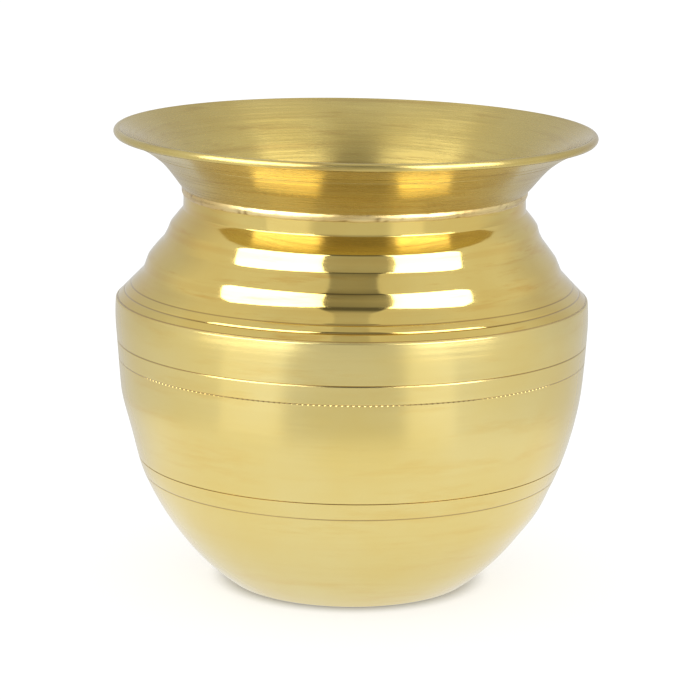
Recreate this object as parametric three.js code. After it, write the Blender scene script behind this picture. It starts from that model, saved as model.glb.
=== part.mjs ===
// Brass kalash: a round-bellied water pot of thin spun brass sheet.
//
// Three spun shells are brazed into one vessel. The bowl is the lower body, with a dished base that
// stands on a flat ring. The shoulder closes it in with a cone and three rounded tiers, and its skirt
// laps inside the top of the bowl. The mouth is a trumpet flare with a beaded lip, and its collar laps
// inside the neck of the shoulder. A ring of brazing brass fills the open edge of each lap.
//
// Millimetres and degrees. The pot stands on z = 0 and is round about Z. Every outline below is half
// a section, as radius and height, and runs upwards with the metal on its left.
import * as THREE from "three";

// Sheet and joints
const wall = 1.0; // thickness of the spun sheet
const lapGap = 0.12; // clearance between lapped walls
const brazeGap = 0.02; // hairline between a braze ring and the metal it wets

// Bowl
const bodyRadius = 53; // widest radius of the pot, in the corner under the shoulder
const bodyHeight = 62.5; // height of that widest radius above the ground
const wallLean = 4.5; // how far the upper wall leans out from upright
const bellyTop = 46; // height where the upper wall turns into the belly
const heelTop = 9; // height where the belly turns into the heel
const heelLean = 40; // lean of the sheet from upright where belly and heel meet
const baseLean = 54; // lean of the sheet where the heel meets the rounded edge of the base
const baseEdge = 2.5; // outside radius of that edge
const standWidth = 7; // width of the flat ring that the pot stands on
const dishRise = 0.9; // how far the middle of the base is pushed in
const dishSlope = 4; // width of the slope from the ring up to the dished middle

// Shoulder
const cornerRadius = 4; // outside radius of the corner between bowl and shoulder
const seamAngle = 33; // where the seam lies on that corner, above its widest radius
const seamWidth = 0.35; // width of the braze line in the seam
const seamCrown = 0.03; // how far the braze line stands out of the seam
const coneAngle = 45; // slope of the plain cone above the corner
const coneLength = 7.8; // length of the cone along its slope
const skirtDepth = 5; // depth of the skirt inside the bowl
// The rounded tiers, from the cone up to the neck
const tiers = [
  { rise: 7.45, run: 4.7, bulge: 0.9 },
  { rise: 6.0, run: 3.85, bulge: 0.95 },
  { rise: 3.8, run: 0.3, bulge: 0.45 },
];

// Mouth
const mouthRadius = 53; // radius to the outer edge of the lip
const flareStart = 54; // slope of the flare at the neck, from level
const flareEnd = 29; // slope of the flare at the lip
const lipRadius = 0.7; // radius of the bead round the lip
const neckBend = 3; // outside radius of the bend from collar to flare
const collarDepth = 3; // depth of the straight collar inside the neck
const beadLeg = 0.6; // how far the braze bead at the neck climbs each wall
const beadBulge = 0.12; // how far that bead swells

// Engraved lines, as V-grooves
const grooveWidth = 0.4; // measured upright
const grooveDepth = 0.22;
const wallLines = [7.1, 11.3]; // below the widest radius
const bellyLines = [24.7, 28.6]; // above the ground
const coneLines = [4.3, 6.4]; // down the slope of the cone from its top

// Fineness of the facets
const facets = 48; // round the pot
const sag = 0.05; // most that a facet may stand off its arc

const rad = THREE.MathUtils.degToRad;
const deg = THREE.MathUtils.radToDeg;
const at = (r, z) => new THREE.Vector2(r, z);

// ---- Lines of the section ----

// The point of a circle at an angle above level.
const onCircle = (centre, radius, angle) =>
  at(centre.x + radius * Math.cos(rad(angle)), centre.y + radius * Math.sin(rad(angle)));

// A circular arc from one angle to another, both ends included.
function arc(centre, radius, from, to) {
  const most = 2 * deg(Math.acos(1 - sag / radius));
  const steps = Math.ceil(Math.abs(to - from) / most);
  return Array.from({ length: steps + 1 }, (_, i) =>
    onCircle(centre, radius, from + ((to - from) * i) / steps));
}

// An arc that starts at a point with one lean from upright and ends with another.
function leaningArc(start, radius, fromLean, toLean) {
  const centre = onCircle(start, -radius, -fromLean);
  return arc(centre, radius, -fromLean, -toLean);
}

// An arc between two points that swells out to the right of its chord.
function bulgedArc(start, end, bulge) {
  const chord = end.clone().sub(start);
  const half = chord.length() / 2;
  const radius = (half * half + bulge * bulge) / (2 * bulge);
  const inward = at(-chord.y, chord.x).normalize();
  const centre = start.clone().lerp(end, 0.5).addScaledVector(inward, radius - bulge);
  const angle = (p) => deg(Math.atan2(p.y - centre.y, p.x - centre.x));
  return arc(centre, radius, angle(start), angle(end));
}

// The same line moved to its left by a distance, with mitred corners.
function offset(line, distance) {
  const side = (i) => at(line[i].y - line[i + 1].y, line[i + 1].x - line[i].x).normalize();
  const last = line.length - 2;
  return line.map((p, i) => {
    const before = side(Math.max(i - 1, 0));
    const mitre = side(Math.min(i, last)).add(before).normalize();
    return p.clone().addScaledVector(mitre, distance / mitre.dot(before));
  });
}

// Where a line first passes a value of x or y.
function crossing(line, axis, value) {
  const i = line.findIndex((p, k) => k > 0 && p[axis] > value);
  const [a, b] = [line[i - 1], line[i]];
  return a.clone().lerp(b, (value - a[axis]) / (b[axis] - a[axis]));
}

// The stretch of a rising line between two heights.
function stretch(line, low, high) {
  const between = line.filter((p) => p.y > low && p.y < high);
  return [crossing(line, "y", low), ...between, crossing(line, "y", high)];
}

// Cuts a V-groove into a rising line at a height, square to the surface.
function engrave(line, height) {
  const low = crossing(line, "y", height - grooveWidth / 2);
  const high = crossing(line, "y", height + grooveWidth / 2);
  const inward = at(low.y - high.y, high.x - low.x).normalize();
  const floor = low.clone().lerp(high, 0.5).addScaledVector(inward, grooveDepth);
  return [...line.filter((p) => p.y < low.y), low, floor, high, ...line.filter((p) => p.y > high.y)];
}

// ---- Lines that more than one piece takes its place from ----

const cornerCentre = at(bodyRadius - cornerRadius, bodyHeight);
const halfSeam = deg(seamWidth / 2 / cornerRadius);
const bowlEdge = seamAngle - halfSeam;
const shoulderEdge = seamAngle + halfSeam;

// Outside of the bowl above its base, from the stand ring up to the seam.
function bowlOutside() {
  const corner = arc(cornerCentre, cornerRadius, -wallLean, bowlEdge);
  const wallRun = (corner[0].y - bellyTop) * Math.tan(rad(wallLean));
  const bellyRadius = (bellyTop - heelTop) / (Math.sin(rad(heelLean)) - Math.sin(rad(wallLean)));
  const wallFoot = at(corner[0].x - wallRun, bellyTop);
  const belly = leaningArc(wallFoot, bellyRadius, wallLean, heelLean).reverse();
  const edgeRise = baseEdge * (1 - Math.sin(rad(baseLean)));
  const heelRadius = (heelTop - edgeRise) / (Math.sin(rad(baseLean)) - Math.sin(rad(heelLean)));
  const heel = leaningArc(belly[0], heelRadius, heelLean, baseLean).reverse();
  const edge = leaningArc(heel[0], baseEdge, baseLean, 90).reverse();
  return [...edge.slice(0, -1), ...heel.slice(0, -1), ...belly, ...corner];
}

const bowlLine = bowlOutside();
const bowlRim = onCircle(cornerCentre, cornerRadius - wall, bowlEdge); // inner edge of its top
const skirtRadius = bowlRim.x - lapGap;
const skirtFoot = bowlRim.y - skirtDepth;

// Outside of the shoulder, from the seam up to the top of the neck.
function shoulderOutside() {
  const line = arc(cornerCentre, cornerRadius, shoulderEdge, 90 - coneAngle);
  line.push(onCircle(line.at(-1), coneLength, 180 - coneAngle));
  for (const { rise, run, bulge } of tiers) {
    const crease = line.at(-1);
    line.push(...bulgedArc(crease, at(crease.x - run, crease.y + rise), bulge).slice(1));
  }
  return line;
}

const shoulderLine = shoulderOutside();
const coneTop = onCircle(cornerCentre, cornerRadius, 90 - coneAngle).y
  + coneLength * Math.sin(rad(coneAngle));
const neck = shoulderLine.at(-1);
const neckBore = neck.x - wall;
const collarRadius = neckBore - lapGap;

// Underside of the mouth, from the top of the straight collar out to the lip.
function mouthUnderside(collarTop) {
  const bend = arc(at(collarRadius + neckBend, collarTop), neckBend, 180, 90 + flareStart);
  const foot = bend.at(-1);
  const lip = mouthRadius - lipRadius + (wall / 2) * Math.sin(rad(flareEnd));
  const flareRadius = (lip - foot.x) / (Math.sin(rad(flareStart)) - Math.sin(rad(flareEnd)));
  const centre = onCircle(foot, -flareRadius, 90 + flareStart);
  return [...bend, ...arc(centre, flareRadius, 90 + flareStart, 90 + flareEnd).slice(1)];
}

// The mouth sits on the outer edge of the neck, with the clearance of the lap between them.
const seatOf = (underside) => offset(underside, -lapGap);
const collarTop = neck.y - crossing(seatOf(mouthUnderside(0)), "x", neck.x).y;
const mouthLine = mouthUnderside(collarTop);

// ---- The pieces ----

// A spun piece: its closed section turned about Z.
function spin(name, section, colour, roughness) {
  const material = new THREE.MeshStandardMaterial({ color: colour, metalness: 1, roughness });
  const mesh = new THREE.Mesh(new THREE.LatheGeometry(section, facets), material);
  mesh.name = name;
  mesh.rotation.x = Math.PI / 2; // the lathe turns about Y, and the pot stands along Z
  return mesh;
}

const closed = (section) => [...section, section[0].clone()];

function bowl() {
  const ringInner = bowlLine[0].x - standWidth;
  const dishRadius = ringInner - dishSlope;
  const underside = [at(0, dishRise), at(dishRadius, dishRise), at(ringInner, 0)];
  const floor = underside.map((p) => at(p.x, p.y + wall)).reverse();
  const outside = [...bellyLines, ...wallLines.map((d) => bodyHeight - d)].reduce(engrave, bowlLine);
  const inside = stretch(offset(bowlLine, wall), wall, bowlRim.y).slice(0, -1);
  const section = [...underside, ...outside, bowlRim, ...inside.reverse(), ...floor];
  return spin("bowl", section, 0xd8b863, 0.3);
}

function shoulder() {
  const lines = coneLines.map((d) => coneTop - d * Math.sin(rad(coneAngle)));
  const outside = lines.reduce(engrave, shoulderLine);
  const step = (skirtRadius - cornerCentre.x) / Math.cos(rad(shoulderEdge));
  const neckEdge = crossing(seatOf(mouthLine), "x", neckBore);
  const topCrease = neck.y - tiers.at(-1).rise;
  const inside = offset(shoulderLine, wall).filter((p) => p.y < topCrease).reverse();
  const skirtInside = skirtRadius - wall;
  const section = [
    crossing(inside, "x", skirtInside),
    at(skirtInside, skirtFoot),
    at(skirtRadius, skirtFoot),
    onCircle(cornerCentre, step, shoulderEdge),
    ...outside,
    neckEdge,
    ...inside.filter((p) => p.x < skirtInside),
  ];
  return spin("shoulder", closed(section), 0xdcbb62, 0.18);
}

function shoulderBraze() {
  const edgeGap = deg(brazeGap / cornerRadius);
  const [low, high] = [bowlEdge + edgeGap, shoulderEdge - edgeGap];
  const depth = (angle) => (skirtRadius + brazeGap - cornerCentre.x) / Math.cos(rad(angle));
  const face = [low, high].map((angle) => onCircle(cornerCentre, cornerRadius, angle));
  const root = [high, low].map((angle) => onCircle(cornerCentre, depth(angle), angle));
  return spin("shoulder_braze", closed([...bulgedArc(...face, seamCrown), ...root]), 0xcfa24a, 0.35);
}

function mouth() {
  const topside = offset(mouthLine, wall);
  const centre = mouthLine.at(-1).clone().lerp(topside.at(-1), 0.5);
  const wrap = 180 - deg(Math.asin(wall / 2 / lipRadius));
  const section = [
    at(collarRadius - wall, collarTop - collarDepth),
    at(collarRadius, collarTop - collarDepth),
    ...mouthLine.slice(0, -1),
    ...arc(centre, lipRadius, flareEnd - wrap, flareEnd + wrap),
    ...topside.slice(0, -1).reverse(),
  ];
  return spin("mouth", closed(section), 0xd9b85f, 0.22);
}

function neckBraze() {
  const wallSide = stretch(offset(shoulderLine, -brazeGap), neck.y - beadLeg, neck.y - brazeGap);
  const flareFoot = crossing(mouthLine, "x", neck.x).y;
  const climb = beadLeg * Math.sin(rad(flareStart));
  const flareSide = stretch(offset(mouthLine, -brazeGap), flareFoot, flareFoot + climb);
  const face = bulgedArc(wallSide[0], flareSide.at(-1), beadBulge);
  const back = [...wallSide.slice(1), ...flareSide.slice(0, -1)].reverse();
  return spin("neck_braze", closed([...face, ...back]), 0xe3c884, 0.4);
}

export default new THREE.Group().add(bowl(), shoulder(), shoulderBraze(), mouth(), neckBraze());
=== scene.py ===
import math

import bmesh
import bpy
from mathutils import Matrix, Vector, noise


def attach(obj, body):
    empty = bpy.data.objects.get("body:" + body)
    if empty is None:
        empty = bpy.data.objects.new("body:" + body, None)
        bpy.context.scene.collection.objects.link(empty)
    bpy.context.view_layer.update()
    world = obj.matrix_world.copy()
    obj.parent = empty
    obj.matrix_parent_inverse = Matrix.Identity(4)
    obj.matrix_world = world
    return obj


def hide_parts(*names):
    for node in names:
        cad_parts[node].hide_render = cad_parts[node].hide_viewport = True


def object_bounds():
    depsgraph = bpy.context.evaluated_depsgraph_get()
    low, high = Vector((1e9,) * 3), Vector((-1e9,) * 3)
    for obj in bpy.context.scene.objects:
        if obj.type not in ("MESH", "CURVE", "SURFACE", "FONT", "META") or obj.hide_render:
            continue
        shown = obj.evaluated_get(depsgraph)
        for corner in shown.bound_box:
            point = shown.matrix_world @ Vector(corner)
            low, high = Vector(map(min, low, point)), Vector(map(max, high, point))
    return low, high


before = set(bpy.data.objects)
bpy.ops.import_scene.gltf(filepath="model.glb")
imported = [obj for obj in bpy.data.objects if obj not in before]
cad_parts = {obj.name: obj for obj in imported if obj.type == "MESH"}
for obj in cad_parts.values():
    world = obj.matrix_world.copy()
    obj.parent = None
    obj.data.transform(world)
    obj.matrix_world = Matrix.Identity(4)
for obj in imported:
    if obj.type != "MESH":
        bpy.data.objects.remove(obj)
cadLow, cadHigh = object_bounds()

mm = 0.001
fullTurn = 2 * math.pi
spinSteps = 274  # steps round the pot

shell = {
    "wall": 1.0,
    "longestEdge": 1.1,
    "arcSag": 0.004,
    "sharpTurn": 32,  # degrees; a sharper turn than this shows as an edge
}

# how the hand-finished pot departs from a true turned form, in mm and degrees
wander = {
    "neckShift": 0.40,
    "mouthShift": 0.10,
    "mouthLean": 0.40,  # down towards +X
    "dent": 0.035,
    "dentSize": 17.0,
    "dentRadius": 40.0,  # dents are read on a cylinder of this radius
    "oval": 0.05,
    # where one side is flatter, or fuller if negative: side, height, reach, depth
    "flats": [(-1, 34.8, 9.8, 0.60), (1, 50.5, 16.0, -0.24), (1, 17.5, 5.5, -0.33),
              (-1, 75.0, 5.0, -0.50), (1, 79.5, 2.5, 0.35), (-1, 91.0, 4.5, -0.42),
              (1, 91.5, 4.5, -0.30)],
    "sideSpread": (0.3, 0.95),  # how squarely to the side a flat starts and is full
    "aboveBase": (2, 14),  # heights between which each part of the wander sets in
    "intoNeck": (66, 80),
    "intoMouth": (86, 92),
    "stillRadius": 30,  # inside this radius the base stays nearly true
}


# section lines: r and z in mm, drawn in the XZ plane
def startLine(bm, r, z):
    return bmesh.ops.create_vert(bm, co=(r * mm, 0, z * mm))["vert"][0]


def lineTo(bm, tip, r, z):
    target = Vector((r * mm, 0, z * mm))
    if (target - tip.co).length < 1e-7:
        return tip
    tip = bmesh.ops.extrude_vert_indiv(bm, verts=[tip])["verts"][0]
    tip.co = target
    return tip


def swingLine(bm, tip, centreR, centreZ, angle):
    # carries the line round a centre, anticlockwise for a positive angle
    centre = Vector((centreR * mm, 0, centreZ * mm))
    radius = (tip.co - centre).length / mm
    widest = 2 * math.acos(1 - min(shell["arcSag"] / radius, 0.5))
    steps = max(2, math.ceil(abs(angle) / min(widest, shell["longestEdge"] / radius)))
    made = bmesh.ops.spin(bm, geom=[tip], cent=centre, axis=(0, -1, 0), dvec=(0, 0, 0),
                          angle=angle, steps=steps, use_merge=False)
    return [v for v in made["geom_last"] if isinstance(v, bmesh.types.BMVert)][0]


def turnBetween(ahead, beyond):
    return math.atan2(ahead.x * beyond.y - ahead.y * beyond.x, ahead.dot(beyond))


def drawCorners(bm, tip, corners):
    # a line through corner points, each rounded by its own radius; the last point ends it
    here = Vector((tip.co.x / mm, tip.co.z / mm))
    for (r, z, rounding), following in zip(corners, corners[1:]):
        corner = Vector((r, z))
        ahead = (corner - here).normalized()
        beyond = (Vector(following[:2]) - corner).normalized()
        turn = turnBetween(ahead, beyond)
        reach = rounding * abs(math.tan(turn / 2))
        near = corner - ahead * reach
        tip = lineTo(bm, tip, near.x, near.y)
        if reach > 1e-6:
            side = math.copysign(rounding, turn)
            tip = swingLine(bm, tip, near.x - ahead.y * side, near.y + ahead.x * side, turn)
        here = corner + beyond * reach
    return lineTo(bm, tip, *corners[-1][:2])


def insideOf(corners, wall):
    # the same corners moved to the left by the wall; the two ends are not rounded
    moved = []
    last = len(corners) - 1
    for i, (r, z, rounding) in enumerate(corners):
        here = Vector((r, z))
        ahead = (here - Vector(corners[i - 1][:2])).normalized() if i else None
        beyond = (Vector(corners[i + 1][:2]) - here).normalized() if i < last else ahead
        ahead = ahead or beyond
        turn = turnBetween(ahead, beyond)
        left = Vector((-ahead.y - beyond.y, ahead.x + beyond.x)).normalized()
        spot = here + left * wall / math.cos(turn / 2)
        change = -math.copysign(wall, turn) if abs(turn) > 1e-6 else 0
        moved.append((spot.x, spot.y, max(rounding + change, 0) if 0 < i < last else 0))
    return moved


def engrave(bm, level, cut, depth, grimeAndShade):
    # a V-groove in the line drawn so far, with dirt in its floor
    floor = []
    for part in (-1.0, -0.5, 0, 0.5, 1.0):
        made = bmesh.ops.bisect_plane(bm, geom=bm.verts[:] + bm.edges[:], dist=1e-9,
                                      plane_co=(0, 0, (level + part * cut["width"]) * mm),
                                      plane_no=(0, 0, 1))
        if part == 0:
            floor = [v for v in made["geom_cut"] if isinstance(v, bmesh.types.BMVert)]
    for v in floor:
        ends = sorted((e.other_vert(v).co for e in v.link_edges), key=lambda co: co.z)
        along = (ends[1] - ends[0]).normalized()
        v.co += Vector((-along.z, 0, along.x)) * depth * mm
        v[grimeAndShade] = cut["grimeAndShade"]


def shortenEdges(bm):
    for cuts in (7, 3, 1):
        limit = shell["longestEdge"] * mm * (cuts + 1) * 0.75
        edges = [e for e in bm.edges if e.calc_length() > limit]
        if edges:
            bmesh.ops.subdivide_edges(bm, edges=edges, cuts=cuts)


def spinRound(bm):
    bmesh.ops.remove_doubles(bm, verts=bm.verts[:], dist=1e-7)
    bmesh.ops.spin(bm, geom=bm.verts[:] + bm.edges[:], cent=(0, 0, 0), axis=(0, 0, 1),
                   dvec=(0, 0, 0), angle=fullTurn, steps=spinSteps, use_merge=True)
    bmesh.ops.remove_doubles(bm, verts=bm.verts[:], dist=1e-7)
    bmesh.ops.recalc_face_normals(bm, faces=bm.faces[:])


def smoothStep(value, low, high):
    t = min(max((value - low) / (high - low), 0), 1)
    return t * t * (3 - 2 * t)


def settle(bm):
    # the same gentle wander for every piece, so that they still meet
    for v in bm.verts:
        r = math.hypot(v.co.x, v.co.y)
        if r < 1e-6:
            continue
        z = v.co.z / mm
        out = Vector((v.co.x / r, v.co.y / r, 0))
        reading = wander["dentRadius"]
        spot = Vector((out.x * reading, out.y * reading, z)) / wander["dentSize"]
        push = wander["dent"] * noise.noise(spot) + wander["oval"] * out.x * out.y
        for side, height, reach, depth in wander["flats"]:
            away = min(abs(z - height) / reach, 1)
            push -= depth * (1 - away ** 2) ** 2 * smoothStep(side * out.x, *wander["sideSpread"])
        free = smoothStep(z, *wander["aboveBase"]) * min(r / mm / wander["stillRadius"], 1)
        v.co += out * push * free * mm
        inNeck = smoothStep(z, *wander["intoNeck"])
        inMouth = smoothStep(z, *wander["intoMouth"])
        v.co.z -= v.co.x * math.tan(math.radians(wander["mouthLean"])) * inMouth
        v.co.x += (wander["neckShift"] * inNeck + wander["mouthShift"] * inMouth) * mm


def finishPiece(bm, name, node, material):
    mesh = bpy.data.meshes.new(name)
    bmesh.ops.triangulate(bm, faces=[f for f in bm.faces if len(f.verts) > 4])
    bm.to_mesh(mesh)
    bm.free()
    mesh.polygons.foreach_set("use_smooth", [True] * len(mesh.polygons))
    mesh.set_sharp_from_angle(angle=math.radians(shell["sharpTurn"]))
    piece = bpy.data.objects.new(name, mesh)
    bpy.context.scene.collection.objects.link(piece)
    mesh.materials.append(material)
    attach(piece, "root")
    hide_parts(node)
    triangles = sum(len(p.vertices) - 2 for p in mesh.polygons)
    print(name, triangles, "triangles")


# node helpers
tiny = 0.001  # keeps a division clear of zero


def addNode(tree, kind, values=None, **settings):
    node = tree.nodes.new(kind)
    for key, value in settings.items():
        setattr(node, key, value)
    for socket, value in (values or {}).items():
        if isinstance(value, bpy.types.NodeSocket):
            tree.links.new(value, node.inputs[socket])
        else:
            node.inputs[socket].default_value = value
    return node


def ramp(tree, value, low, high, toMin=0.0, toMax=1.0, easing="SMOOTHSTEP"):
    return addNode(tree, "ShaderNodeMapRange",
                   {"Value": value, "From Min": low, "From Max": high, "To Min": toMin, "To Max": toMax},
                   interpolation_type=easing).outputs[0]


def combine(tree, operation, first, second=0.0):
    return addNode(tree, "ShaderNodeMath", {0: first, 1: second}, operation=operation).outputs[0]


def between(tree, value, low, high, soft):
    return combine(tree, "MULTIPLY", ramp(tree, value, low - soft, low + soft),
                   ramp(tree, value, high + soft, high - soft))


def blend(tree, factor, first, second):
    return addNode(tree, "ShaderNodeMix", {"Factor": factor, "A": first, "B": second},
                   data_type="FLOAT").outputs["Result"]


def mixColours(tree, factor, first, second):
    return addNode(tree, "ShaderNodeMix", {"Factor": factor, "A": first, "B": second},
                   data_type="RGBA").outputs["Result"]


def noiseOf(tree, vector, scale, detail, roughness=0.5):
    return addNode(tree, "ShaderNodeTexNoise",
                   {"Vector": vector, "Scale": scale, "Detail": detail,
                    "Roughness": roughness}).outputs[0]


def lengthOf(tree, vector):
    return addNode(tree, "ShaderNodeVectorMath", {0: vector}, operation="LENGTH").outputs["Value"]


def emptyMaterial(name):
    material = bpy.data.materials.new(name)
    material.use_nodes = True
    tree = material.node_tree
    tree.nodes.clear()
    output = addNode(tree, "ShaderNodeOutputMaterial")
    place = addNode(tree, "ShaderNodeTexCoord").outputs["Object"]
    return material, tree, output, place


# what every piece's brass has in common; each pair is the noise level where a mark starts and is full
brassPlan = {
    "lines": (0.3, 0.7),
    "clouds": (0.35, 0.65),
    "stains": (0.54, 0.72),
    "rings": (0.52, 0.72),
    "lineRoughness": 0.6,
    "stainRoughness": 0.65,
    "brushTurn": 0.25,
    "coatIor": 1.5,
}


def turnedBrass(name, look):
    # fine lines run round the pot, so their noise is read on radius and height
    material, tree, output, place = emptyMaterial(name)
    split = addNode(tree, "ShaderNodeSeparateXYZ", {0: place}).outputs
    flat = addNode(tree, "ShaderNodeCombineXYZ", {0: split[0], 1: split[1]}).outputs[0]
    slide = combine(tree, "MULTIPLY", noiseOf(tree, place, look["driftScale"], 2.0),
                    look["driftSlide"] * mm)
    ring = addNode(tree, "ShaderNodeCombineXYZ",
                   {0: lengthOf(tree, flat), 1: split[2], 2: slide}).outputs[0]
    fine = noiseOf(tree, ring, look["fineScale"], 3.0, brassPlan["lineRoughness"])
    broad = noiseOf(tree, ring, look["broadScale"], 2.0)
    heights = addNode(tree, "ShaderNodeMath", {0: fine, 1: look["fineShare"], 2: broad},
                      operation="MULTIPLY_ADD").outputs[0]
    bump = addNode(tree, "ShaderNodeBump",
                   {"Strength": 1.0, "Distance": look["lineDepth"] * mm, "Height": heights}).outputs[0]
    rough = ramp(tree, fine, *brassPlan["lines"], look["roughLow"], look["roughHigh"], "LINEAR")

    cloud = noiseOf(tree, place, look["cloudScale"], 4.0)
    metal = mixColours(tree, ramp(tree, cloud, *brassPlan["clouds"], easing="LINEAR"),
                       (*look["brass"], 1), (*look["deepBrass"], 1))
    # heat stains drawn out round the pot, and darker turned rings
    drawnOut = addNode(tree, "ShaderNodeMapping",
                       {"Vector": place, "Scale": (1.0, 1.0, look["stretch"])}).outputs[0]
    patches = noiseOf(tree, drawnOut, look["cloudScale"], 6.0, brassPlan["stainRoughness"])
    patch = ramp(tree, patches, *brassPlan["stains"], toMax=look["heatAmount"], easing="LINEAR")
    rings = ramp(tree, broad, *brassPlan["rings"], toMax=look["ringTone"], easing="LINEAR")
    stained = mixColours(tree, combine(tree, "MAXIMUM", patch, rings), metal, (*look["heat"], 1))
    # this attribute holds dirt in the groove floors and, on the neck, painted shade
    grimeAndShade = addNode(tree, "ShaderNodeAttribute", attribute_name="grimeAndShade").outputs["Fac"]
    soiled = mixColours(tree, grimeAndShade, stained, (*look["grimeAndShade"], 1))

    tangent = addNode(tree, "ShaderNodeTangent", direction_type="RADIAL", axis="Z").outputs[0]
    shader = addNode(tree, "ShaderNodeBsdfPrincipled",
                     {"Base Color": soiled, "Metallic": 1.0, "Roughness": rough, "Normal": bump,
                      "Anisotropic": look["brushed"], "Anisotropic Rotation": brassPlan["brushTurn"],
                      "Tangent": tangent, "Coat Weight": look["lacquer"],
                      "Coat Roughness": look["lacquerRough"], "Coat IOR": brassPlan["coatIor"],
                      "Coat Normal": bump})
    tree.links.new(shader.outputs[0], output.inputs[0])
    return material


# the bowl, from the base up to the seam in the corner
bowlPlan = {
    "base": [(14.97, 0.9, 1.2), (18.97, 0, 1.2)],
    "side": [(26.781, 0, 2.5), (32.531, 4.178, 51.27), (50.067, 25.077, 65.564),
             (52.87, 61.2, 40.0), (52.62, 64.42, 0.14), (52.36, 64.68, 0)],
    "dishRise": 0.9,
    "lines": [(25.1, 0.7), (28.9, 1.0), (55.4, 1.0)],  # height, share of the full depth
    "chattered": 51.3,
    "line": {"width": 0.42, "depth": 0.16, "grimeAndShade": 0.75},
    "teeth": 0.13,
    "toothCuts": 3,
    "toothBand": (49, 52.2),  # the radii that hold the floor of the toothed line
    "toothReach": 0.03,  # how near its level
}

bodyBrass = {
    "brass": (0.83, 0.68, 0.26),
    "deepBrass": (0.82, 0.64, 0.20),
    "heat": (0.78, 0.53, 0.12), "heatAmount": 0.45, "stretch": 7.0, "ringTone": 0.10,
    "grimeAndShade": (0.30, 0.17, 0.04),
    "driftScale": 9.0, "driftSlide": 6.0,
    "fineScale": 1900.0, "broadScale": 420.0, "cloudScale": 38.0,
    "fineShare": 0.6, "lineDepth": 0.004,
    "roughLow": 0.15, "roughHigh": 0.24,
    "brushed": 0.6, "lacquer": 0.75, "lacquerRough": 0.3,
}


def buildBowl():
    bm = bmesh.new()
    grimeAndShade = bm.verts.layers.float.new("grimeAndShade")
    line = bowlPlan["line"]
    outer = bowlPlan["base"] + bowlPlan["side"]
    first = (0, bowlPlan["dishRise"], 0)
    tip = drawCorners(bm, startLine(bm, *first[:2]), outer)
    for level, share in bowlPlan["lines"] + [(bowlPlan["chattered"], 1.0)]:
        engrave(bm, level, line, line["depth"] * share, grimeAndShade)
    drawCorners(bm, tip, insideOf([first] + outer, shell["wall"])[::-1])
    shortenEdges(bm)
    spinRound(bm)
    chatter(bm, bowlPlan["chattered"])
    settle(bm)
    finishPiece(bm, "bowl_spun", "bowl", turnedBrass("bodyBrass", bodyBrass))


def chatter(bm, level):
    # the tool skipped along this line and left a row of fine teeth in it
    least, most = bowlPlan["toothBand"]
    near = bowlPlan["toothReach"] * mm
    inLine = {v for v in bm.verts
              if abs(v.co.z - level * mm) < near and least * mm < v.co.xy.length < most * mm}
    ring = [e for e in bm.edges if inLine.issuperset(e.verts)
            and abs(e.verts[0].co.z - e.verts[1].co.z) < 1e-6]
    made = bmesh.ops.subdivide_edges(bm, edges=ring, cuts=bowlPlan["toothCuts"])
    places = spinSteps * (bowlPlan["toothCuts"] + 1)
    for v in {g for g in made["geom_inner"] if isinstance(g, bmesh.types.BMVert)}:
        number = round(math.atan2(v.co.y, v.co.x) / fullTurn * places)
        if number % 2:
            v.co += Vector((v.co.x, v.co.y, 0)).normalized() * bowlPlan["teeth"] * mm


# the shoulder: skirt, cone, tiers and neck
shoulderPlan = {
    "seam": (52.084, 64.902),
    "cone": (46.7, 70.45, 5.0),
    "tiers": [(45.25, 73.6, 1.8), (42.2, 77.5, 1.2), (40.9, 81.0, 1.6), (38.05, 84.5, 0.15)],
    "neck": (37.95, 88.094),
    "skirtFoot": 59.02,
    "skirtRadius": 51.2,
    "skirtBend": 1.5,
    "skirtTop": 64.1,
    "lines": [(66.3, 1.0), (67.8, 0.5)],  # height, share of the full depth
    "line": {"width": 0.34, "depth": 0.12, "grimeAndShade": 0.75},
}

tierBrass = {
    "brass": (0.80, 0.62, 0.19),
    "deepBrass": (0.76, 0.55, 0.14),
    "heat": (0.70, 0.44, 0.09), "heatAmount": 0.85, "stretch": 12.0, "ringTone": 0.45,
    "grimeAndShade": (0.28, 0.16, 0.04),
    "driftScale": 12.0, "driftSlide": 7.0,
    "fineScale": 1500.0, "broadScale": 330.0, "cloudScale": 45.0,
    "fineShare": 0.35, "lineDepth": 0.004,
    "roughLow": 0.05, "roughHigh": 0.10,
    "brushed": 0.5, "lacquer": 0.5, "lacquerRough": 0.12,
}


def buildShoulder():
    bm = bmesh.new()
    grimeAndShade = bm.verts.layers.float.new("grimeAndShade")
    line = shoulderPlan["line"]
    seam = (*shoulderPlan["seam"], 0)
    corners = [shoulderPlan["cone"], *shoulderPlan["tiers"], (*shoulderPlan["neck"], 0)]
    tip = drawCorners(bm, startLine(bm, *shoulderPlan["seam"]), corners)
    for level, share in shoulderPlan["lines"]:
        engrave(bm, level, line, line["depth"] * share, grimeAndShade)
    skirt = shoulderPlan["skirtRadius"]
    inSkirt = skirt - shell["wall"]
    foot = shoulderPlan["skirtFoot"]
    inner = insideOf([seam] + corners, shell["wall"])[::-1]
    inner = [c for c in inner if c[0] < inSkirt]
    bend = inner[-1][1] - (inSkirt - inner[-1][0])  # where the inside of the cone meets the skirt
    inner += [(inSkirt, bend, shoulderPlan["skirtBend"]), (inSkirt, foot, 0), (skirt, foot, 0),
              (skirt, shoulderPlan["skirtTop"], 0), seam]
    drawCorners(bm, tip, inner)
    shortenEdges(bm)
    spinRound(bm)
    settle(bm)
    finishPiece(bm, "shoulder_spun", "shoulder", turnedBrass("tierBrass", tierBrass))


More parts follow.
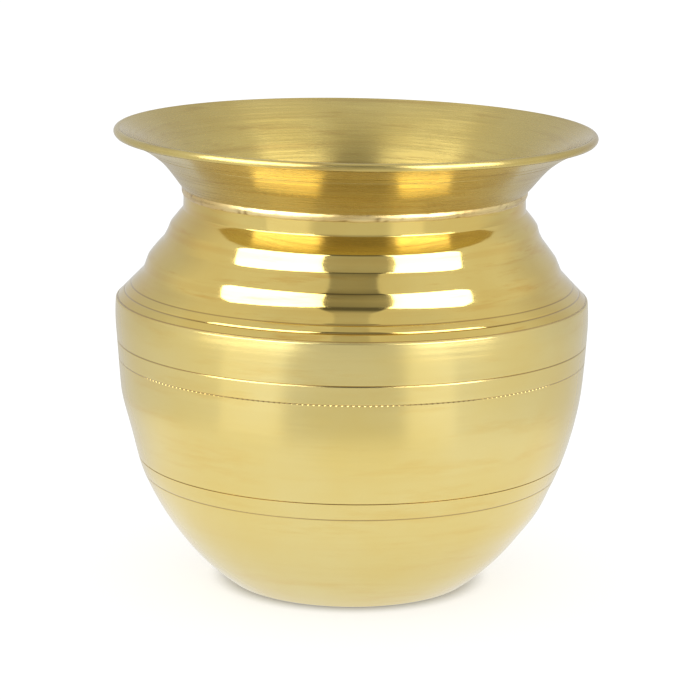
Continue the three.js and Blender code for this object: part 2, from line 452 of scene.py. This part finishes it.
# the mouth: collar, flare and lip
mouthPlan = {
    "collar": (36.343, 82.84),
    "bend": (36.343, 86.815, 3.0),
    "underside": [(40.83, 92.99, 29.9), (47.7, 98.98, 25.1), (52.976, 100.482, 0)],
    "lipCentre": (52.6, 101.30),
    "lipTurn": 183,  # degrees round the lip
    "topside": [(43.197, 96.248, 46.5), (52.65, 101.21, 0)],
    "lines": [96.9, 97.9],
    "line": {"width": 0.26, "depth": 0.06, "grimeAndShade": 0.5},
    # painted shade on the neck below the lip: how dark at most, and the heights where it fades out
    "neckPaintedShade": 0.23,
    "paintedShadeEnds": (96, 99.5),
}

# a darker copy of the brass: painted shade for the mouth and flare, which mirror less light
shadedFlareBrass = {
    "brass": (0.67, 0.53, 0.17),
    "deepBrass": (0.62, 0.47, 0.13),
    "heat": (0.42, 0.27, 0.07), "heatAmount": 0.6, "stretch": 16.0, "ringTone": 0.55,
    "grimeAndShade": (0.28, 0.16, 0.04),
    "driftScale": 12.0, "driftSlide": 7.0,
    "fineScale": 1700.0, "broadScale": 400.0, "cloudScale": 45.0,
    "fineShare": 0.2, "lineDepth": 0.0025,
    "roughLow": 0.2, "roughHigh": 0.34,
    "brushed": 0.9, "lacquer": 0.5, "lacquerRough": 0.3,
}


def buildMouth():
    bm = bmesh.new()
    grimeAndShade = bm.verts.layers.float.new("grimeAndShade")
    line = mouthPlan["line"]
    collar = (*mouthPlan["collar"], 0)
    tip = drawCorners(bm, startLine(bm, *collar[:2]), [mouthPlan["bend"]] + mouthPlan["underside"])
    for level in mouthPlan["lines"]:
        engrave(bm, level, line, line["depth"], grimeAndShade)
    # painted shade: the neck grows darker downwards from the lip
    for v in bm.verts:
        paintedShade = mouthPlan["neckPaintedShade"] * (1 - smoothStep(v.co.z / mm, *mouthPlan["paintedShadeEnds"]))
        v[grimeAndShade] = max(v[grimeAndShade], paintedShade)
    tip = swingLine(bm, tip, *mouthPlan["lipCentre"], math.radians(mouthPlan["lipTurn"]))
    inner = insideOf([collar, mouthPlan["bend"]] + mouthPlan["topside"], shell["wall"])[::-1]
    drawCorners(bm, tip, inner[1:] + [collar])
    shortenEdges(bm)
    spinRound(bm)
    settle(bm)
    finishPiece(bm, "mouth_spun", "mouth", turnedBrass("shadedFlareBrass", shadedFlareBrass))


# the two runs of braze
brazePlan = {
    "seam": [(52.315, 64.665), (52.225, 64.80), (52.10, 64.888)],
    "seamRoot": (-0.62, -0.60),
    "bead": [(37.8, 87.35), (38.1, 87.7), (38.25, 88.2), (38.2, 88.75), (38.0, 89.15), (37.4, 88.6)],
    "ragged": 0.16,
    "raggedSize": 1.3,
    "flecks": (0.3, 3.0, 0.8),  # noise level where they start, how fast they darken, how dark
}

seamBrass = dict(bodyBrass, brass=(0.62, 0.44, 0.13), deepBrass=(0.5, 0.33, 0.09))
beadBrass = dict(shadedFlareBrass, brass=(0.86, 0.70, 0.33), deepBrass=(0.7, 0.5, 0.18),
                 roughLow=0.2, roughHigh=0.4, brushed=0.1, lineDepth=0.02, heatAmount=0.8)


def spinLoop(bm, points):
    tip = startLine(bm, *points[0])
    for point in points[1:] + points[:1]:
        tip = lineTo(bm, tip, *point)
    spinRound(bm)


def buildSeam():
    bm = bmesh.new()
    bm.verts.layers.float.new("grimeAndShade")
    shown = brazePlan["seam"]
    root = Vector(brazePlan["seamRoot"])
    spinLoop(bm, shown + [Vector(shown[-1]) + root, Vector(shown[0]) + root])
    settle(bm)
    finishPiece(bm, "shoulder_seam", "shoulder_braze",
                turnedBrass("seamBrass", seamBrass))


def buildBead():
    bm = bmesh.new()
    grimeAndShade = bm.verts.layers.float.new("grimeAndShade")
    spinLoop(bm, brazePlan["bead"])
    start, gain, most = brazePlan["flecks"]
    for v in bm.verts:
        rough = noise.noise(v.co / (brazePlan["raggedSize"] * mm))
        v.co.z += rough * brazePlan["ragged"] * mm
        v[grimeAndShade] = min(max((rough - start) * gain, 0), most)
    settle(bm)
    finishPiece(bm, "neck_bead", "neck_braze", turnedBrass("beadBrass", beadBrass))


# the table, and the card that stands in for it in reflections
stagePlan = {
    "size": 8.0,
    "paper": (0.36, 0.36, 0.36),
    "paperRough": 0.9,
    "paperGlow": 0.70,
    "contact": (0.0245, 0.0325),  # radii of the soft shadow at the foot
    "contactGlow": 0.12,
    "cardHeight": 0.0002,
}

# how bright the table looks in the metal; places are in metres, or x over y for the pools
cardPlan = {
    "near": 0.92,
    "nearBehind": 0.76,
    "nearTurn": (0.0, 0.08),
    "underBelly": 0.92,
    "bellyShade": (0.028, 0.06),
    "far": 0.80,
    "behind": 0.64,
    "farTurn": (-0.1, 0.25),
    "reach": (0.115, 0.165),
    "pool": 0.97,  # in front of each softbox
    "leftPool": (0.56, 1.6),
    "rightPool": (0.44, 1.0),
    "shade": 0.68,  # between the lights
    "shadeSpan": (-0.5, 0.40),
    "ahead": (0.0, 0.05),
    "soft": 0.08,
}


def addPlane(name, size, height):
    bm = bmesh.new()
    bmesh.ops.create_grid(bm, x_segments=1, y_segments=1, size=size)
    bmesh.ops.translate(bm, vec=(0, 0, height), verts=bm.verts[:])
    mesh = bpy.data.meshes.new(name)
    bm.to_mesh(mesh)
    bm.free()
    plane = bpy.data.objects.new(name, mesh)
    bpy.context.scene.collection.objects.link(plane)
    return plane


def buildFloor():
    floor = addPlane("floor", stagePlan["size"], 0)
    floor.visible_glossy = False
    material, tree, output, place = emptyMaterial("paper")
    glow = ramp(tree, lengthOf(tree, place), *stagePlan["contact"],
                stagePlan["contactGlow"], stagePlan["paperGlow"])
    shader = addNode(tree, "ShaderNodeBsdfPrincipled",
                     {"Base Color": (*stagePlan["paper"], 1), "Roughness": stagePlan["paperRough"],
                      "Specular IOR Level": 0.0, "Emission Color": (1, 1, 1, 1),
                      "Emission Strength": glow})
    tree.links.new(shader.outputs[0], output.inputs[0])
    floor.data.materials.append(material)


def buildTableCard():
    # only reflections see this card
    card = addPlane("tableCard", stagePlan["size"], stagePlan["cardHeight"])
    card.visible_camera = False
    card.visible_diffuse = False
    card.visible_shadow = False
    material, tree, output, place = emptyMaterial("tableCard")
    split = addNode(tree, "ShaderNodeSeparateXYZ", {0: place}).outputs
    away = lengthOf(tree, place)
    soft = cardPlan["soft"]
    ahead = combine(tree, "MULTIPLY", split[1], -1.0)
    aside = combine(tree, "DIVIDE", split[0], combine(tree, "MAXIMUM", ahead, tiny))
    toLeft = combine(tree, "MULTIPLY", aside, -1.0)
    front = ramp(tree, ahead, *cardPlan["ahead"])
    near = blend(tree, ramp(tree, split[1], *cardPlan["nearTurn"]),
                 cardPlan["near"], cardPlan["nearBehind"])
    near = combine(tree, "MULTIPLY", near,
                   ramp(tree, away, *cardPlan["bellyShade"], cardPlan["underBelly"], 1.0))
    wide = blend(tree, ramp(tree, split[1], *cardPlan["farTurn"]), cardPlan["far"], cardPlan["behind"])
    pools = combine(tree, "MAXIMUM", between(tree, toLeft, *cardPlan["leftPool"], soft),
                    between(tree, aside, *cardPlan["rightPool"], soft))
    wide = blend(tree, combine(tree, "MULTIPLY", pools, front), wide, cardPlan["pool"])
    shade = between(tree, aside, *cardPlan["shadeSpan"], soft)
    wide = blend(tree, combine(tree, "MULTIPLY", shade, front), wide, cardPlan["shade"])
    strength = blend(tree, ramp(tree, away, *cardPlan["reach"]), near, wide)
    glow = addNode(tree, "ShaderNodeEmission", {"Color": (1, 1, 1, 1), "Strength": strength})
    tree.links.new(glow.outputs[0], output.inputs[0])
    card.data.materials.append(material)


# lights and room; ramps in the room read the unit direction
light = {
    "boxes": [  # azimuth from the camera, elevation, width, height in degrees
        {"azimuth": -50, "elevation": 25, "width": 51, "height": 46},
        {"azimuth": 49.5, "elevation": 25, "width": 40, "height": 46},
    ],
    "boxGlow": 4.6,
    "boxDistance": 1.5,
    "paper": 1.08,  # even light on the floor
    "room": 0.80,  # what the metal mirrors all round
    "behind": 0.62,
    "behindTurn": (0.2, 0.7),
    "ceiling": 0.74,
    "ceilingRise": (0.82, 0.92),
    "ceilingTurn": (0.12, -0.05),
    "gap": [(0.0, 0.50), (0.10, 0.30), (0.30, 0.32), (0.45, 0.55), (0.60, 0.42), (0.72, 0.10),
            (0.84, 0.14), (0.93, 0.45), (1.0, 0.64)],  # the dim gap over the camera, by height
    "gapEdge": (0.42, 0.36),
    "gapTurn": (0.05, -0.05),
}


def buildLights():
    aim = (cadLow + cadHigh) / 2
    far = light["boxDistance"]
    for i, box in enumerate(light["boxes"]):
        lamp = bpy.data.lights.new(f"softbox{i}", "AREA")
        lamp.shape = "RECTANGLE"
        lamp.size = 2 * far * math.tan(math.radians(box["width"] / 2))
        lamp.size_y = 2 * far * math.tan(math.radians(box["height"] / 2))
        lamp.energy = light["boxGlow"] * math.pi * lamp.size * lamp.size_y
        a, e = math.radians(box["azimuth"]), math.radians(box["elevation"])
        back = Vector((math.sin(a) * math.cos(e), -math.cos(a) * math.cos(e), math.sin(e)))
        spot = bpy.data.objects.new(lamp.name, lamp)
        bpy.context.scene.collection.objects.link(spot)
        spot.location = aim + back * far
        spot.rotation_euler = back.to_track_quat("Z", "Y").to_euler()
        spot.visible_diffuse = False


def buildWorld():
    world = bpy.data.worlds.new("studio")
    bpy.context.scene.world = world
    world.use_nodes = True
    tree = world.node_tree
    tree.nodes.clear()
    output = addNode(tree, "ShaderNodeOutputWorld")
    way = addNode(tree, "ShaderNodeTexCoord").outputs["Generated"]
    x, y, z = addNode(tree, "ShaderNodeSeparateXYZ", {0: way}).outputs
    levelShare = combine(tree, "SUBTRACT", 1 + tiny, combine(tree, "MULTIPLY", z, z))
    across = combine(tree, "DIVIDE", combine(tree, "ABSOLUTE", x), combine(tree, "SQRT", levelShare))
    inGap = combine(tree, "MULTIPLY", ramp(tree, across, *light["gapEdge"]),
                    ramp(tree, y, *light["gapTurn"]))
    heights = addNode(tree, "ShaderNodeValToRGB", {0: z})
    stops = heights.color_ramp.elements  # two are there from the start
    for i, (height, value) in enumerate(light["gap"]):
        stop = stops[i] if i < 2 else stops.new(height)
        stop.position = height
        stop.color = (value, value, value, 1)
    overhead = combine(tree, "MULTIPLY", ramp(tree, z, *light["ceilingRise"]),
                       ramp(tree, y, *light["ceilingTurn"]))
    walls = blend(tree, ramp(tree, y, *light["behindTurn"]), light["room"], light["behind"])
    mirrored = blend(tree, inGap, blend(tree, overhead, walls, light["ceiling"]), heights.outputs[0])
    path = addNode(tree, "ShaderNodeLightPath")
    strength = blend(tree, path.outputs["Is Glossy Ray"], light["paper"], mirrored)
    glow = addNode(tree, "ShaderNodeBackground", {"Color": (1, 1, 1, 1), "Strength": strength})
    tree.links.new(glow.outputs[0], output.inputs[0])
    bpy.context.scene.view_settings.view_transform = "Standard"


shot = {
    "distance": 0.6794,
    "elevation": 12.058,
    "roll": 0.671,
    "lens": 155.65,
    "sensor": 36,
    "aimAside": -0.00027,
    "aimAbove": 0.0008,
}


def buildCamera():
    camera = bpy.data.objects.new("camera", bpy.data.cameras.new("camera"))
    bpy.context.scene.collection.objects.link(camera)
    camera.data.lens = shot["lens"]
    camera.data.sensor_width = shot["sensor"]
    aim = (cadLow + cadHigh) / 2 + Vector((shot["aimAside"], 0, shot["aimAbove"]))
    tilt = math.radians(shot["elevation"])
    back = Vector((0, -math.cos(tilt), math.sin(tilt)))
    place = Matrix.Translation(aim + back * shot["distance"])
    turn = Matrix.Rotation(math.pi / 2 - tilt, 4, "X")
    roll = Matrix.Rotation(math.radians(shot["roll"]), 4, "Z")
    camera.matrix_world = place @ turn @ roll
    camera.data.clip_start = 0.01
    camera.data.clip_end = 50
    bpy.context.scene.camera = camera


buildCamera()
buildFloor()
buildTableCard()
buildLights()
buildWorld()
print("stage ready")
buildBowl()
buildShoulder()
buildMouth()
buildSeam()
buildBead()
print("pot built")
